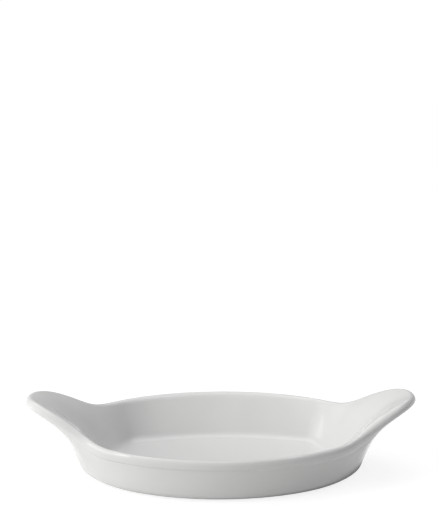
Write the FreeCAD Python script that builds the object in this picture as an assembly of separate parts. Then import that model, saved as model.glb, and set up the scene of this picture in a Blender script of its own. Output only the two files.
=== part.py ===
"""Oval gratin dish with an ear handle at each end, in glazed porcelain.

The clay is an oval body with one ear luted to each end. One coat of glaze runs over all three, so the
fired dish shows no seam, and a second pool of glaze lies inside the foot ring, which is left bare.

X runs from ear to ear, Y across the dish and Z up. The origin is on the table, under the middle.
"""

import FreeCAD
import Part
import math
import os

# Plan and heights of the finished dish, in millimetres
RIM_LENGTH = 177.0
RIM_WIDTH = 122.0
RIM_HEIGHT = 26.2
EAR_REACH = 21.8
EAR_RISE = 17.4

# Cavity
FLOOR_THICKNESS = 3.6
FLOOR_FILLET = 5.5
CAVITY_END_TAPER = 17.0
CAVITY_SIDE_TAPER = 15.4
CORNER_FULLNESS = 7.0

# Wall, lip and the raised band under the lip
LIP_THICKNESS = 4.8
LIP_SOFTENING = 2.5
EAR_THICKNESS = 5.2
BAND_HEIGHT = 2.0
BAND_STEP = 0.7
BAND_RUNOUT = 1.8

# Base and foot ring
BASE_END_TAPER = 9.4
BASE_SIDE_TAPER = 6.3
BASE_RADIUS = 5.0
FOOT_HEIGHT = 1.4
FOOT_WIDTH = 4.0
FOOT_INSET = 0.5
FOOT_ROUNDING = 0.5

# Glaze and the plane where each ear is luted on
GLAZE_THICKNESS = 0.4
LUTE_FROM_RIM_END = 5.0
CUT_OVERRUN = 10.0

# Angles, in degrees: how far each side of the long axis an ear spreads, and how it leans
EAR_SPREAD = 37.2
RISE_SPREAD = 49.0
RISE_FLAT = 3.5
UNDERSIDE_SPREAD = 23.5
CORNER_ANGLE = 47.5
CORNER_SOFTNESS = 1.6
EAR_TILT = 30.0
TIP_FLATTENING = 13.0
TIP_SPREAD = 14.0
UNDERSIDE_TILT = 24.0
EAR_FOOT_STEEPENING = 10.0
UNDERSIDE_FOOT_STEEPENING = 13.5
EAR_STATION_STEP = 1.25
SIDE_STATION_STEP = 7.5
EAR_ZONE = 60.0
SLOPE_STEP = 0.01

# How sharply the ear swells and the corner fills out, and how far the wall's curves hold their directions
REACH_POWER = 1.38
RISE_POWER = 1.8
CORNER_POWER = 2.0
INNER_FOOT_SHARE = 0.36
INNER_LIP_SHARE = 0.36
OUTER_LIP_SHARE = 0.27
OUTER_FOOT_SHARE = 0.425
BAND_HANDLE_SHARE = 0.5
THIRD_SHARE = 1.0 / 3.0

# Parts of a turn, in degrees, and the degree of every curve
QUARTER_TURN = 90.0
HALF_TURN = 180.0
FULL_TURN = 360.0
CUBIC = 3

# Heights and plan sizes that follow from those above
BASE_BOTTOM = FOOT_HEIGHT - GLAZE_THICKNESS
FLOOR_TOP = BASE_BOTTOM + FLOOR_THICKNESS
FOOT_LENGTH = RIM_LENGTH - 2 * (BASE_END_TAPER + BASE_RADIUS + FOOT_INSET)
FOOT_BREADTH = RIM_WIDTH - 2 * (BASE_SIDE_TAPER + BASE_RADIUS + FOOT_INSET)
LUTE_X = RIM_LENGTH / 2 - LUTE_FROM_RIM_END


def rim_point(angle):
    """Point of the rim's plain oval, without the ears, at an angle of its parameter in degrees."""
    turn = math.radians(angle)
    return FreeCAD.Vector(RIM_LENGTH / 2 * math.cos(turn), RIM_WIDTH / 2 * math.sin(turn), 0)


def rim_travel(angle):
    """How far and which way that point runs per radian."""
    turn = math.radians(angle)
    return FreeCAD.Vector(-RIM_LENGTH / 2 * math.sin(turn), RIM_WIDTH / 2 * math.cos(turn), 0)


def rim_outward(angle):
    """Level direction square to the rim's oval, away from the dish."""
    travel = rim_travel(angle)
    return FreeCAD.Vector(travel.y, -travel.x, 0).normalize()


def angle_from_ear(angle):
    """Angle from the nearer ear's centre line, in degrees."""
    return abs((angle + QUARTER_TURN) % HALF_TURN - QUARTER_TURN)


def end_or_side(end, side, angle):
    """Size that runs smoothly from its value at the ends to its value at the sides."""
    return side + (end - side) * math.cos(math.radians(angle)) ** 2


def swell(share):
    """Raised cosine: 1 at a share of 0, falling smoothly to 0 at a share of 1 and beyond."""
    return (1 + math.cos(math.pi * min(share, 1))) / 2


def ear_reach(angle):
    """How far the edge stands out from the rim's plain oval."""
    return EAR_REACH * swell(angle_from_ear(angle) / EAR_SPREAD) ** REACH_POWER


def edge_height(angle):
    """Height of the top of the rim or ear edge."""
    past_flat = max(angle_from_ear(angle) - RISE_FLAT, 0)
    return RIM_HEIGHT + EAR_RISE * swell(past_flat / (RISE_SPREAD - RISE_FLAT)) ** RISE_POWER


def edge_stretch(angle):
    """How much wider a cut square to the rim's oval shows the edge than a cut square to the edge."""
    speed = rim_travel(angle).Length
    bend = RIM_LENGTH * RIM_WIDTH / (4 * speed ** 3)
    slope = (ear_reach(angle + SLOPE_STEP) - ear_reach(angle - SLOPE_STEP)) / math.radians(2 * SLOPE_STEP)
    return math.hypot(1, slope / (speed * (1 + bend * ear_reach(angle))))


def roll_share(angle):
    """How far the wall has rolled out into an ear, from 0 at the sides to 1 on the ear's centre line.

    It sets in at the cavity's corner beside the ear, softly enough to leave a rounded crease."""
    inside = CORNER_ANGLE - angle_from_ear(angle)
    ramp = inside + math.hypot(inside, CORNER_SOFTNESS)
    full_ramp = CORNER_ANGLE + math.hypot(CORNER_ANGLE, CORNER_SOFTNESS)
    return math.sin(ramp / full_ramp * math.pi / 2)


def corner_share(angle):
    """How far the cavity's foot fills out into its corner: 1 near the corner, 0 on both axes."""
    off = math.hypot(angle_from_ear(angle) - CORNER_ANGLE, CORNER_SOFTNESS)
    return (1 - math.sin(off / math.hypot(CORNER_ANGLE, CORNER_SOFTNESS) * math.pi / 2)) ** CORNER_POWER


def along(tilt, length, stretch=1):
    """Step in the cut, outwards and up at a tilt from level, in radians."""
    return FreeCAD.Vector(length * stretch * math.cos(tilt), 0, length * math.sin(tilt))


def across(tilt, length, stretch=1):
    """Step in the cut, square to that tilt and towards the cavity."""
    return FreeCAD.Vector(-length * stretch * math.sin(tilt), 0, length * math.cos(tilt))


def steepness(line):
    """Tilt of a line in the cut, in radians."""
    return math.atan2(line.z, line.x)


def arc_handle(radius, turn):
    """Length of a Bezier handle that rounds a turn, in radians, at that radius."""
    return radius * math.tan(turn / 4) * 4 / 3


def corner_curve(corner, tilt, radius):
    """Bezier poles of the rounding between a level face, which lies inwards, and a wall at a tilt."""
    setback = radius * math.tan(tilt / 2)
    handle = arc_handle(radius, tilt)
    level = corner - along(0, setback)
    wall = corner + along(tilt, setback)
    return [level, level + along(0, handle), wall - along(tilt, handle), wall]


def straight_curve(start, end):
    """Bezier poles of a straight run."""
    run = end - start
    return [start, start + run * THIRD_SHARE, end - run * THIRD_SHARE, end]


def lip_curves(lip, radius, softening, inner_tilt, outer_tilt, stretch):
    """Bezier poles of the two curves that round the edge, from the inner wall over to the outer one.

    The softening starts the inner one that much further down the wall, which takes a little off the top."""
    top_tilt = (inner_tilt + outer_tilt) / 2
    handle = arc_handle(radius, math.pi / 2 - (outer_tilt - inner_tilt) / 2)
    inner = lip + across(inner_tilt, radius, stretch) - along(inner_tilt, softening, stretch)
    edge = lip + along(top_tilt, radius, stretch)
    outer = lip - across(outer_tilt, radius, stretch)
    round_top = across(top_tilt, handle, stretch)
    soft_handle = handle * (radius + softening) / radius
    over = [inner, inner + along(inner_tilt, soft_handle, stretch), edge + round_top, edge]
    under = [edge, edge - round_top, outer + along(outer_tilt, handle, stretch), outer]
    return over, under


def wall_section(angle, depth):
    """Bezier curves of the wall cut square to the rim, from the cooking floor over the lip to the base.

    The cut lies that depth below the glazed surface. Its points are (distance out from the rim's oval, 0,
    height)."""
    roll = roll_share(angle)
    stretch = edge_stretch(angle)
    full_radius = (LIP_THICKNESS + (EAR_THICKNESS - LIP_THICKNESS) * roll) / 2
    lip = FreeCAD.Vector(ear_reach(angle) - full_radius * stretch, 0, edge_height(angle) - full_radius)

    # Directions of the inner wall at its foot and at the lip: one straight line at the sides
    inset = LIP_THICKNESS + end_or_side(CAVITY_END_TAPER, CAVITY_SIDE_TAPER, angle)
    floor_corner = FreeCAD.Vector(CORNER_FULLNESS * corner_share(angle) - inset, 0, FLOOR_TOP)
    rise = lip - floor_corner
    straight = steepness(rise) + math.asin(full_radius / rise.Length)
    foot_tilt = straight + math.radians(EAR_FOOT_STEEPENING) * roll
    levelled = math.radians(TIP_FLATTENING) * swell(angle_from_ear(angle) / TIP_SPREAD)
    inner_tilt = straight + (math.radians(EAR_TILT) - straight) * roll - levelled

    # Direction of the outer wall at the lip: straight from the base, but for the middle of an ear
    band_step = BAND_STEP * (1 - roll)
    base_corner = FreeCAD.Vector(-end_or_side(BASE_END_TAPER, BASE_SIDE_TAPER, angle), 0, BASE_BOTTOM)
    rise = lip - base_corner
    straight = steepness(rise) - math.asin((full_radius - band_step) / rise.Length)
    bared = swell(angle_from_ear(angle) / UNDERSIDE_SPREAD)
    outer_tilt = straight + (math.radians(UNDERSIDE_TILT) - straight) * bared

    # Floor fillet, inner wall and lip
    deep_corner = floor_corner + FreeCAD.Vector(depth * math.tan(foot_tilt / 2), 0, -depth)
    fillet = corner_curve(deep_corner, foot_tilt, FLOOR_FILLET + depth)
    softening = LIP_SOFTENING * (1 - swell(angle_from_ear(angle) / QUARTER_TURN)) ** 2
    over, under = lip_curves(lip, full_radius - depth, softening, inner_tilt, outer_tilt, stretch)
    span = (over[0] - fillet[-1]).Length
    inner_wall = [fillet[-1],
                  fillet[-1] + along(foot_tilt, INNER_FOOT_SHARE * span),
                  over[0] - along(inner_tilt, INNER_LIP_SHARE * span, stretch),
                  over[0]]

    # Raised band and its run-out, which fade away towards the ears
    band_low = under[-1] - along(outer_tilt, BAND_HEIGHT, stretch)
    wall_top = band_low - along(outer_tilt, BAND_RUNOUT, stretch) + across(outer_tilt, band_step, stretch)
    handle = along(outer_tilt, BAND_HANDLE_SHARE * BAND_RUNOUT, stretch)
    runout = [band_low, band_low - handle, wall_top + handle, wall_top]

    # Outer wall and the rounded edge of the base
    base_tilt = steepness(wall_top - base_corner) + math.radians(UNDERSIDE_FOOT_STEEPENING) * roll
    deep_corner = base_corner + FreeCAD.Vector(-depth * math.tan(base_tilt / 2), 0, depth)
    base = corner_curve(deep_corner, base_tilt, BASE_RADIUS - depth)
    span = (wall_top - base[-1]).Length
    outer_wall = [wall_top,
                  wall_top - along(outer_tilt, OUTER_LIP_SHARE * span, stretch),
                  base[-1] + along(base_tilt, OUTER_FOOT_SHARE * span),
                  base[-1]]
    band = straight_curve(under[-1], band_low)
    return [fillet, inner_wall, over, under, band, runout, outer_wall, base[::-1]]


def station_angles():
    """Angles of the cuts that shape the wall: close together at the ears, wider along the sides."""
    ear_steps = round(EAR_ZONE / EAR_STATION_STEP)
    side_steps = round((QUARTER_TURN - EAR_ZONE) / SIDE_STATION_STEP)
    quarter = [index * EAR_STATION_STEP for index in range(ear_steps)]
    quarter += [EAR_ZONE + index * SIDE_STATION_STEP for index in range(side_steps)]
    half = quarter + [HALF_TURN - angle for angle in [QUARTER_TURN] + quarter[:0:-1]]
    return half + [HALF_TURN + angle for angle in half]


def placed(point, angle):
    """A point of a cut, moved to that cut's place round the dish."""
    return rim_point(angle) + rim_outward(angle) * point.x + FreeCAD.Vector(0, 0, point.z)


def closed_track(points, angles):
    """Smooth closed curve through matching points of every cut."""
    track = Part.BSplineCurve()
    track.interpolate(Points=points, PeriodicFlag=True, Parameters=angles + [angles[0] + FULL_TURN])
    return track


def skinned_surface(curves, angles):
    """Surface that carries one Bezier curve of the wall smoothly through every cut round the dish."""
    tracks = []
    for pole in range(CUBIC + 1):
        points = [placed(curve[pole], angle) for curve, angle in zip(curves, angles)]
        tracks.append(closed_track(points, angles))
    poles = [list(row) for row in zip(*[track.getPoles() for track in tracks])]
    surface = Part.BSplineSurface()
    surface.buildFromPolesMultsKnots(poles, tracks[0].getMultiplicities(), [CUBIC + 1, CUBIC + 1],
                                     tracks[0].getKnots(), [0.0, 1.0], True, False, CUBIC, CUBIC)
    return surface


def dish_form(depth):
    """Solid dish without its foot ring, that depth below the glazed surface."""
    angles = station_angles()
    sections = [wall_section(angle, depth) for angle in angles]
    surfaces = [skinned_surface(curves, angles) for curves in zip(*sections)]
    floor = Part.Face(Part.Wire(surfaces[0].vIso(0.0).toShape()))
    bottom = Part.Face(Part.Wire(surfaces[-1].vIso(1.0).toShape()))
    shell = Part.Shell([floor, bottom] + [surface.toShape() for surface in surfaces])
    shell.sewShape()
    solid = Part.Solid(Part.Shell(shell.Faces))
    if solid.Volume < 0:
        solid.reverse()
    return solid


def oval_prism(length, width, bottom, top):
    """Upright oval block."""
    ellipse = Part.Ellipse(FreeCAD.Vector(0, 0, bottom), length / 2, width / 2)
    return Part.Face(Part.Wire(ellipse.toShape())).extrude(FreeCAD.Vector(0, 0, top - bottom))


def foot_ring():
    """Bare ring that the dish stands on, reaching up into the floor, with its lower edges rounded."""
    top = FOOT_HEIGHT + FLOOR_THICKNESS / 2
    inner = oval_prism(FOOT_LENGTH - 2 * FOOT_WIDTH, FOOT_BREADTH - 2 * FOOT_WIDTH, 0, top)
    ring = oval_prism(FOOT_LENGTH, FOOT_BREADTH, 0, top).cut(inner)
    lower_edges = [edge for edge in ring.Edges if edge.BoundBox.ZMax < FOOT_HEIGHT / 2]
    return ring.makeFillet(FOOT_ROUNDING, lower_edges)


def ear_block(side):
    """Everything beyond one lute plane, on the left (-1) or the right (1)."""
    length = EAR_REACH + LUTE_FROM_RIM_END + CUT_OVERRUN
    height = RIM_HEIGHT + EAR_RISE + 2 * CUT_OVERRUN
    block = Part.makeBox(length, RIM_WIDTH, height, FreeCAD.Vector(LUTE_X, -RIM_WIDTH / 2, -CUT_OVERRUN))
    if side < 0:
        block = block.mirror(FreeCAD.Vector(0, 0, 0), FreeCAD.Vector(1, 0, 0))
    return block


def build():
    """All the pieces, by name."""
    clay = dish_form(GLAZE_THICKNESS).fuse(foot_ring())
    left_ear = clay.common(ear_block(-1))
    right_ear = clay.common(ear_block(1))
    dish_body = clay.cut([ear_block(-1), ear_block(1)])
    coats = dish_form(0).cut(clay).Solids
    coats.sort(key=lambda solid: solid.BoundBox.XLength)
    return {
        "dish_body": dish_body,
        "left_ear": left_ear,
        "right_ear": right_ear,
        "glaze_coat": coats[-1],
        "foot_recess_glaze": coats[0],
    }


os.makedirs("parts", exist_ok=True)
for name, shape in build().items():
    shape.exportStep("parts/" + name + ".step")
    print(name, "solids", len(shape.Solids), "valid", shape.isValid(), "volume", round(shape.Volume))
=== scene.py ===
"""Looks of an oval gratin dish with an ear at each end, in white glazed porcelain.

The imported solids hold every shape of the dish, so they stay in view and are dressed here: a clear,
bright glaze over the body and the ears, and bare biscuit on the foot ring. A plain studio is set up
round them.

Lengths are in metres, in the frame of the solids: X from ear to ear, Y away from the viewer and Z up.
"""

import logging
import math
from dataclasses import astuple, dataclass, field
from enum import Enum

import bpy
from bpy.types import Material, Node, NodeSocket, NodeTree, Object
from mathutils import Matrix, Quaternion, Vector

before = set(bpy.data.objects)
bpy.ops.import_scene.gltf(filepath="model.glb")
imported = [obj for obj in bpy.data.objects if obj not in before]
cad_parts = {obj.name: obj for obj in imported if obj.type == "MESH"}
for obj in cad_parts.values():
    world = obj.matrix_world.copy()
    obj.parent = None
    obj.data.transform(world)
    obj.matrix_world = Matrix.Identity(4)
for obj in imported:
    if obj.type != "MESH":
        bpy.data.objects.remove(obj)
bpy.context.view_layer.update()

Colour = tuple[float, float, float, float]
Point = tuple[float, float, float]
Span = tuple[float, float]

WHITE: Colour = (1.0, 1.0, 1.0, 1.0)
BLACK: Colour = (0.0, 0.0, 0.0, 1.0)
PLAIN_LIGHT: Point = (1.0, 1.0, 1.0)
WARM_LIGHT: Point = (1.0, 0.998, 0.97)
LOG = logging.getLogger("gratin_dish")


class Piece(Enum):
    """Pieces of the dish, by the names of their nodes."""

    BODY = "dish_body"
    LEFT_EAR = "left_ear"
    RIGHT_EAR = "right_ear"
    GLAZE = "glaze_coat"
    RECESS_GLAZE = "foot_recess_glaze"


class Graph:
    """Node tree of a material, a world or a group, with short calls to fill it."""

    def __init__(self, tree: NodeTree) -> None:
        """Takes over the node tree to fill."""
        self.tree = tree

    def add(self, kind: str, **values: object) -> Node:
        """Adds one node.

        Args:
            kind: the node's type name, without its ShaderNode prefix.
            values: socket values by name with underscores for spaces, or node settings in lower case.

        Returns:
            The new node.
        """
        node = self.tree.nodes.new("ShaderNode" + kind)
        for name, value in values.items():
            socket = node.inputs.get(name.replace("_", " "))
            if socket is not None and name[0].isupper():
                socket.default_value = value
            else:
                setattr(node, name, value)
        return node

    def link(self, start: NodeSocket, end: NodeSocket) -> None:
        """Joins an output to an input."""
        self.tree.links.new(start, end)

    def place(self) -> NodeSocket:
        """Gives the place of a point in the frame of the solids."""
        return self.add("TexCoord").outputs["Object"]

    def height(self, place: NodeSocket) -> NodeSocket:
        """Takes the height out of a place.

        Args:
            place: the coordinates it reads.

        Returns:
            The height above the table.
        """
        parts = self.add("SeparateXYZ")
        self.link(place, parts.inputs[0])
        return parts.outputs["Z"]

    def noise(self, place: NodeSocket, per_metre: float, detail: float) -> NodeSocket:
        """Adds a noise.

        Args:
            place: the coordinates it reads.
            per_metre: how many lumps there are to a metre.
            detail: how many finer layers it has.

        Returns:
            Its value, from 0 to 1.
        """
        node = self.add("TexNoise", Scale=per_metre, Detail=detail)
        self.link(place, node.inputs["Vector"])
        return node.outputs["Fac"]

    def ramp(self, value: NodeSocket, span: Span, to: Span = (0.0, 1.0)) -> NodeSocket:
        """Carries one span of values over to another, smoothly and no further.

        Args:
            value: what is carried over.
            span: the two ends of its span.
            to: what they become.

        Returns:
            The result.
        """
        node = self.add("MapRange", interpolation_type="SMOOTHSTEP", From_Min=span[0], From_Max=span[1],
                        To_Min=to[0], To_Max=to[1])
        self.link(value, node.inputs["Value"])
        return node.outputs["Result"]

    def reckon(self, operation: str, first: NodeSocket, second: NodeSocket) -> NodeSocket:
        """Works one value out from two.

        Args:
            operation: the name of a Math node's operation.
            first: the first value.
            second: the second value.

        Returns:
            The result.
        """
        node = self.add("Math", operation=operation)
        self.link(first, node.inputs[0])
        self.link(second, node.inputs[1])
        return node.outputs[0]

    def vector(self, operation: str, first: NodeSocket, second: Point = (0.0, 0.0, 0.0)) -> Node:
        """Adds a sum on a vector.

        Args:
            operation: the name of a Vector Math node's operation.
            first: the vector.
            second: the fixed vector that goes with it, where the operation takes one.

        Returns:
            The node.
        """
        node = self.add("VectorMath", operation=operation)
        self.link(first, node.inputs[0])
        node.inputs[1].default_value = second
        return node

    def blend(self, share: NodeSocket, first: object, second: object) -> NodeSocket:
        """Mixes two colours.

        Args:
            share: how much of the second one there is.
            first: the colour at a share of 0, fixed or from a socket.
            second: the colour at a share of 1, fixed or from a socket.

        Returns:
            The mixed colour.
        """
        node = self.add("Mix", data_type="RGBA")
        self.link(share, node.inputs["Factor"])
        for name, colour in (("A", first), ("B", second)):
            socket = next(entry for entry in node.inputs if entry.name == name and entry.type == "RGBA")
            if isinstance(colour, NodeSocket):
                self.link(colour, socket)
            else:
                socket.default_value = colour
        return next(entry for entry in node.outputs if entry.type == "RGBA")

    def bump(self, height: NodeSocket, strength: float, depth: float) -> NodeSocket:
        """Turns a height into a normal.

        Args:
            height: the height, from 0 to 1.
            strength: how much of it is felt.
            depth: how deep it is.

        Returns:
            The normal.
        """
        node = self.add("Bump", Strength=strength, Distance=depth)
        self.link(height, node.inputs["Height"])
        return node.outputs["Normal"]


def new_material(name: str) -> tuple[Material, Graph]:
    """Starts a material.

    Args:
        name: its name.

    Returns:
        The material and its node tree.
    """
    made = bpy.data.materials.new(name)
    made.use_nodes = True
    return made, Graph(made.node_tree)


@dataclass(frozen=True)
class Grain:
    """How coarse the fired grain of one finish is, in the order of the group's inputs.

    Clouds, grains and specks are counted to a metre. The radius of a speck is a share of its cell.
    """

    clouds: float
    grains: float
    specks: float
    speck_radius: float


class GrainGroup:
    """Shader node group shared by glaze and biscuit: clouding, fine grain and rare specks."""

    NAME = "fired_grain"
    INPUTS = ("Cloud Scale", "Grain Scale", "Speck Scale", "Speck Limit")
    OUTPUTS = ("Cloud", "Grain", "Specks")
    CLOUD_DETAIL = 2.0
    GRAIN_DETAIL = 3.0

    def __init__(self) -> None:
        """Builds the group once."""
        self.tree = bpy.data.node_groups.new(self.NAME, "ShaderNodeTree")
        for way, names in (("INPUT", self.INPUTS), ("OUTPUT", self.OUTPUTS)):
            for name in names:
                self.tree.interface.new_socket(name, in_out=way, socket_type="NodeSocketFloat")
        self._fill()

    def _fill(self) -> None:
        """Adds the group's nodes."""
        graph = Graph(self.tree)
        given = self.tree.nodes.new("NodeGroupInput")
        result = self.tree.nodes.new("NodeGroupOutput")
        place = graph.place()
        layers = (("Cloud Scale", "Cloud", self.CLOUD_DETAIL), ("Grain Scale", "Grain", self.GRAIN_DETAIL))
        for source, target, detail in layers:
            noise = graph.add("TexNoise", Detail=detail)
            graph.link(place, noise.inputs["Vector"])
            graph.link(given.outputs[source], noise.inputs["Scale"])
            graph.link(noise.outputs["Fac"], result.inputs[target])
        cells = graph.add("TexVoronoi")
        graph.link(place, cells.inputs["Vector"])
        graph.link(given.outputs["Speck Scale"], cells.inputs["Scale"])
        specks = graph.reckon("LESS_THAN", cells.outputs["Distance"], given.outputs["Speck Limit"])
        graph.link(specks, result.inputs["Specks"])

    def add_to(self, graph: Graph, grain: Grain) -> Node:
        """Puts the group into a material.

        Args:
            graph: the material's node tree.
            grain: how coarse the grain is there.

        Returns:
            The group's node.
        """
        node = graph.tree.nodes.new("ShaderNodeGroup")
        node.node_tree = self.tree
        for name, value in zip(self.INPUTS, astuple(grain)):
            node.inputs[name].default_value = value
        return node


@dataclass(frozen=True)
class GlazeFinish:
    """Clear bright glaze on white porcelain, faintly clouded and a little greyer where it has pooled."""

    white: Colour = (0.86, 0.86, 0.86, 1.0)
    clouded: Colour = (0.84, 0.84, 0.84, 1.0)
    pooled: Colour = (0.845, 0.845, 0.845, 1.0)
    speck: Colour = (0.70, 0.68, 0.64, 1.0)
    grain: Grain = Grain(clouds=28.0, grains=420.0, specks=95.0, speck_radius=0.018)
    cloud_span: Span = (0.35, 0.7)
    grain_span: Span = (0.3, 0.7)
    pool_heights: Span = (0.0095, 0.0055)
    roughness: Span = (0.07, 0.12)
    ior: float = 1.52
    ripples_per_metre: float = 160.0
    ripple_detail: float = 1.0
    ripple_strength: float = 0.12
    ripple_depth: float = 0.00002

    def material(self, group: GrainGroup) -> Material:
        """Makes the material.

        Args:
            group: the shared group of clouding, grain and specks.

        Returns:
            The glaze.
        """
        made, graph = new_material("porcelain_glaze")
        shader = graph.tree.nodes["Principled BSDF"]
        shader.inputs["IOR"].default_value = self.ior
        fired = group.add_to(graph, self.grain)
        place = graph.place()
        clouds = graph.ramp(fired.outputs["Cloud"], self.cloud_span)
        pools = graph.ramp(graph.height(place), self.pool_heights)
        colour = graph.blend(clouds, self.white, self.clouded)
        colour = graph.blend(pools, colour, self.pooled)
        colour = graph.blend(fired.outputs["Specks"], colour, self.speck)
        graph.link(colour, shader.inputs["Base Color"])
        gloss = graph.ramp(fired.outputs["Grain"], self.grain_span, self.roughness)
        graph.link(gloss, shader.inputs["Roughness"])
        ripple = graph.noise(place, self.ripples_per_metre, self.ripple_detail)
        normal = graph.bump(ripple, self.ripple_strength, self.ripple_depth)
        graph.link(normal, shader.inputs["Normal"])
        return made


@dataclass(frozen=True)
class BiscuitFinish:
    """Bare fired clay, matte and slightly warm, rubbed grey where the foot ring has slid on shelves."""

    clay: Colour = (0.80, 0.775, 0.73, 1.0)
    pale: Colour = (0.86, 0.84, 0.80, 1.0)
    rubbed: Colour = (0.60, 0.59, 0.57, 1.0)
    speck: Colour = (0.46, 0.42, 0.36, 1.0)
    grain: Grain = Grain(clouds=60.0, grains=1500.0, specks=420.0, speck_radius=0.09)
    cloud_span: Span = (0.3, 0.7)
    grain_span: Span = (0.3, 0.7)
    rub_heights: Span = (0.0003, 0.0)
    rubs_per_metre: float = 90.0
    rub_detail: float = 3.0
    rub_span: Span = (0.5, 0.7)
    roughness: Span = (0.62, 0.85)
    grain_strength: float = 0.5
    grain_depth: float = 0.00006

    def material(self, group: GrainGroup) -> Material:
        """Makes the material.

        Args:
            group: the shared group of clouding, grain and specks.

        Returns:
            The biscuit.
        """
        made, graph = new_material("bare_biscuit")
        shader = graph.tree.nodes["Principled BSDF"]
        fired = group.add_to(graph, self.grain)
        place = graph.place()
        clouds = graph.ramp(fired.outputs["Cloud"], self.cloud_span)
        low = graph.ramp(graph.height(place), self.rub_heights)
        patches = graph.ramp(graph.noise(place, self.rubs_per_metre, self.rub_detail), self.rub_span)
        colour = graph.blend(clouds, self.clay, self.pale)
        colour = graph.blend(graph.reckon("MULTIPLY", low, patches), colour, self.rubbed)
        colour = graph.blend(fired.outputs["Specks"], colour, self.speck)
        graph.link(colour, shader.inputs["Base Color"])
        dull = graph.ramp(fired.outputs["Grain"], self.grain_span, self.roughness)
        graph.link(dull, shader.inputs["Roughness"])
        normal = graph.bump(fired.outputs["Grain"], self.grain_strength, self.grain_depth)
        graph.link(normal, shader.inputs["Normal"])
        return made


@dataclass
class GratinDish:
    """The dish: its clay pieces in biscuit and the glaze that covers them."""

    glaze: GlazeFinish = field(default_factory=GlazeFinish)
    biscuit: BiscuitFinish = field(default_factory=BiscuitFinish)
    clay_pieces: tuple[Piece, ...] = (Piece.BODY, Piece.LEFT_EAR, Piece.RIGHT_EAR)
    glazed_pieces: tuple[Piece, ...] = (Piece.GLAZE, Piece.RECESS_GLAZE)

    def dress(self) -> None:
        """Gives every piece its finish."""
        group = GrainGroup()
        for pieces, finish in ((self.clay_pieces, self.biscuit), (self.glazed_pieces, self.glaze)):
            material = finish.material(group)
            for piece in pieces:
                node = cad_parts[piece.value]
                for slot in node.material_slots:
                    slot.material = material
                LOG.info("dressed %s in %s", piece.value, material.name)


@dataclass(frozen=True)
class Lamp:
    """Rectangular soft lamp, aimed at the dish.

    It is turned from the viewer's side of the dish towards the left ear and raised from the level of its
    aim, both in degrees. A lamp that isn't mirrored is left out of the gloss of the glaze.
    """

    name: str
    turn: float
    rise: float
    size: Span
    watts: float
    colour: Point = PLAIN_LIGHT
    roll: float = 0.0
    mirrored: bool = True
    distance: float = 1.35
    aim: Point = (0.0, 0.0, 0.02)

    def direction(self) -> Vector:
        """Works out on which side of the dish the lamp stands.

        Returns:
            The direction from the lamp's aim to the lamp, of length 1.
        """
        turn = math.radians(self.turn)
        rise = math.radians(self.rise)
        return Vector((-math.sin(turn) * math.cos(rise), -math.cos(turn) * math.cos(rise), math.sin(rise)))

    def build(self) -> None:
        """Makes the lamp."""
        data = bpy.data.lights.new(self.name, "AREA")
        data.shape = "RECTANGLE"
        data.size, data.size_y = self.size
        data.energy = self.watts
        data.color = self.colour
        lamp = bpy.data.objects.new(self.name, data)
        lamp.location = Vector(self.aim) + self.distance * self.direction()
        aimed = (-self.direction()).to_track_quat("-Z", "Y")
        rolled = Quaternion((0.0, 0.0, 1.0), math.radians(self.roll))
        lamp.rotation_euler = (aimed @ rolled).to_euler()
        lamp.visible_glossy = self.mirrored
        bpy.context.scene.collection.objects.link(lamp)


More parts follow.
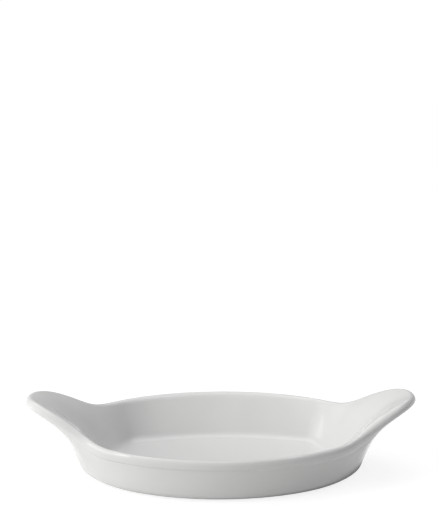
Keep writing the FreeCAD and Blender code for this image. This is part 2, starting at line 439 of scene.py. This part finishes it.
@dataclass
class Studio:
    """Pale floor, plain room, soft lamps and the camera.

    The floor's glow rises from the dish outwards, over its reach. The contact values paint a shadow on the
    floor:
    the oval under the dish where its glow is painted black, which only the glaze mirrors, and the share of
    it over which it fades.
    """

    floor_span: float = 12.0
    floor_pale: Colour = (0.70, 0.70, 0.70, 1.0)
    floor_shade: Colour = (0.30, 0.30, 0.30, 1.0)
    floor_glow: Span = (0.84, 1.0)
    glow_reach: Span = (0.6, 2.0)
    # Painted contact shadow: an oval of floor under the dish whose glow is painted black for the glaze's
    # gloss.
    painted_shadow_centre: Point = (0.0045, 0.0012, 0.0)
    painted_shadow_reach: Point = (0.0795, 0.0552, 1.0)
    painted_shadow_fade: Span = (0.97, 1.03)
    room_light: float = 0.064
    room_mirrored: float = 0.45
    lamps: tuple[Lamp, ...] = (
        Lamp("key_lamp", 60.0, 15.5, (0.6, 0.75), 7.35, colour=WARM_LIGHT, mirrored=False),
        Lamp("left_lamp", 79.0, 15.0, (0.7, 0.7), 2.2, colour=WARM_LIGHT, mirrored=False),
        Lamp("lip_lamp", 73.0, 38.6, (0.46, 0.08), 2.95, colour=WARM_LIGHT),
        Lamp("crease_strip", 104.0, 20.0, (0.1, 0.6), 0.33, colour=WARM_LIGHT, roll=-50.0),
        Lamp("rear_top", 175.0, 68.0, (1.3, 1.2), 8.4),
        Lamp("front_top", -35.0, 67.0, (1.2, 1.0), 2.9),
        Lamp("right_fill", -62.0, 7.0, (1.0, 0.4), 1.15, mirrored=False),
    )
    camera_place: Point = (-0.02193, -1.03585, 0.38950)
    camera_aim: Point = (-0.00120, 0.0, 0.12489)
    camera_lens: float = 135.27
    camera_sensor: float = 36.0

    def build(self) -> None:
        """Sets the whole studio up."""
        bpy.context.scene.view_settings.view_transform = "Standard"
        self._room()
        self._floor()
        for lamp in self.lamps:
            lamp.build()
            LOG.info("lit %s", lamp.name)
        self._camera()

    @staticmethod
    def _mirrored(graph: Graph) -> NodeSocket:
        """Gives 1 for rays that show a background in a gloss or through something clear, or else 0."""
        path = graph.add("LightPath").outputs
        return graph.reckon("MAXIMUM", path["Is Glossy Ray"], path["Is Transmission Ray"])

    @staticmethod
    def _seen(graph: Graph, value: NodeSocket) -> NodeSocket:
        """Gives 1 for the camera's own rays and the given value for the others."""
        return graph.reckon("MAXIMUM", value, graph.add("LightPath").outputs["Is Camera Ray"])

    def _room(self) -> None:
        """Makes the plain room, which lights the dish evenly, shows paler in the glaze and is white."""
        world = bpy.data.worlds.new("plain_room")
        world.use_nodes = True
        bpy.context.scene.world = world
        light = world.node_tree.nodes["Background"]
        light.inputs["Color"].default_value = WHITE
        graph = Graph(world.node_tree)
        level = graph.add("MapRange", To_Min=self.room_light, To_Max=self.room_mirrored)
        graph.link(self._mirrored(graph), level.inputs["Value"])
        graph.link(self._seen(graph, level.outputs["Result"]), light.inputs["Strength"])

    def _outside_painted_shadow(self, graph: Graph, place: NodeSocket) -> NodeSocket:
        """Makes a mask of the floor outside the painted contact shadow under the dish.

        Args:
            graph: the floor's node tree.
            place: the coordinates it reads.

        Returns:
            0 in the painted contact shadow that the glaze mirrors close under the dish, and 1 elsewhere.
        """
        moved = graph.vector("SUBTRACT", place, self.painted_shadow_centre)
        scaled = graph.vector("DIVIDE", moved.outputs["Vector"], self.painted_shadow_reach)
        reach = graph.vector("LENGTH", scaled.outputs["Vector"])
        return self._seen(graph, graph.ramp(reach.outputs["Value"], self.painted_shadow_fade))

    def _floor_finish(self) -> Material:
        """Makes the floor's material.

        Returns:
            A pale finish that shows white to the camera and in the glaze, but keeps the shadow of the dish;
            the glaze also mirrors a painted shadow under the dish.
        """
        made, graph = new_material("pale_floor")
        graph.tree.nodes.remove(graph.tree.nodes["Principled BSDF"])
        place = graph.place()
        away = graph.vector("LENGTH", place)
        pale = graph.add("BsdfDiffuse", Color=self.floor_pale)
        shade = graph.add("BsdfDiffuse", Color=self.floor_shade)
        glow = graph.add("Emission")
        strength = graph.ramp(away.outputs["Value"], self.glow_reach, self.floor_glow)
        graph.link(strength, glow.inputs["Strength"])
        # The glow is painted black in the oval under the dish: a painted contact shadow, mirrored only by
        # the glaze.
        graph.link(graph.blend(self._outside_painted_shadow(graph, place), BLACK, WHITE), glow.inputs["Color"])
        shown = graph.add("AddShader")
        graph.link(shade.outputs[0], shown.inputs[0])
        graph.link(glow.outputs[0], shown.inputs[1])
        pick = graph.add("MixShader")
        graph.link(self._seen(graph, self._mirrored(graph)), pick.inputs[0])
        graph.link(pale.outputs[0], pick.inputs[1])
        graph.link(shown.outputs[0], pick.inputs[2])
        graph.link(pick.outputs[0], graph.tree.nodes["Material Output"].inputs["Surface"])
        return made

    def _floor(self) -> Object:
        """Makes the floor.

        Returns:
            The floor's object.
        """
        bpy.ops.object.select_all(action="DESELECT")
        bpy.ops.mesh.primitive_plane_add(size=self.floor_span)
        floor = bpy.context.object
        floor.name = "studio_floor"
        floor.data.materials.append(self._floor_finish())
        return floor

    def _camera(self) -> None:
        """Makes the camera at the viewing angle of the photo."""
        data = bpy.data.cameras.new("studio_camera")
        data.lens = self.camera_lens
        data.sensor_width = self.camera_sensor
        camera = bpy.data.objects.new("studio_camera", data)
        camera.location = self.camera_place
        aim = Vector(self.camera_aim) - Vector(self.camera_place)
        camera.rotation_euler = aim.to_track_quat("-Z", "Y").to_euler()
        bpy.context.scene.collection.objects.link(camera)
        bpy.context.scene.camera = camera


def main() -> None:
    """Dresses the dish and sets up the studio."""
    logging.basicConfig(level=logging.INFO, format="%(name)s: %(message)s")
    GratinDish().dress()
    Studio().build()


if __name__ == "__main__":
    main()
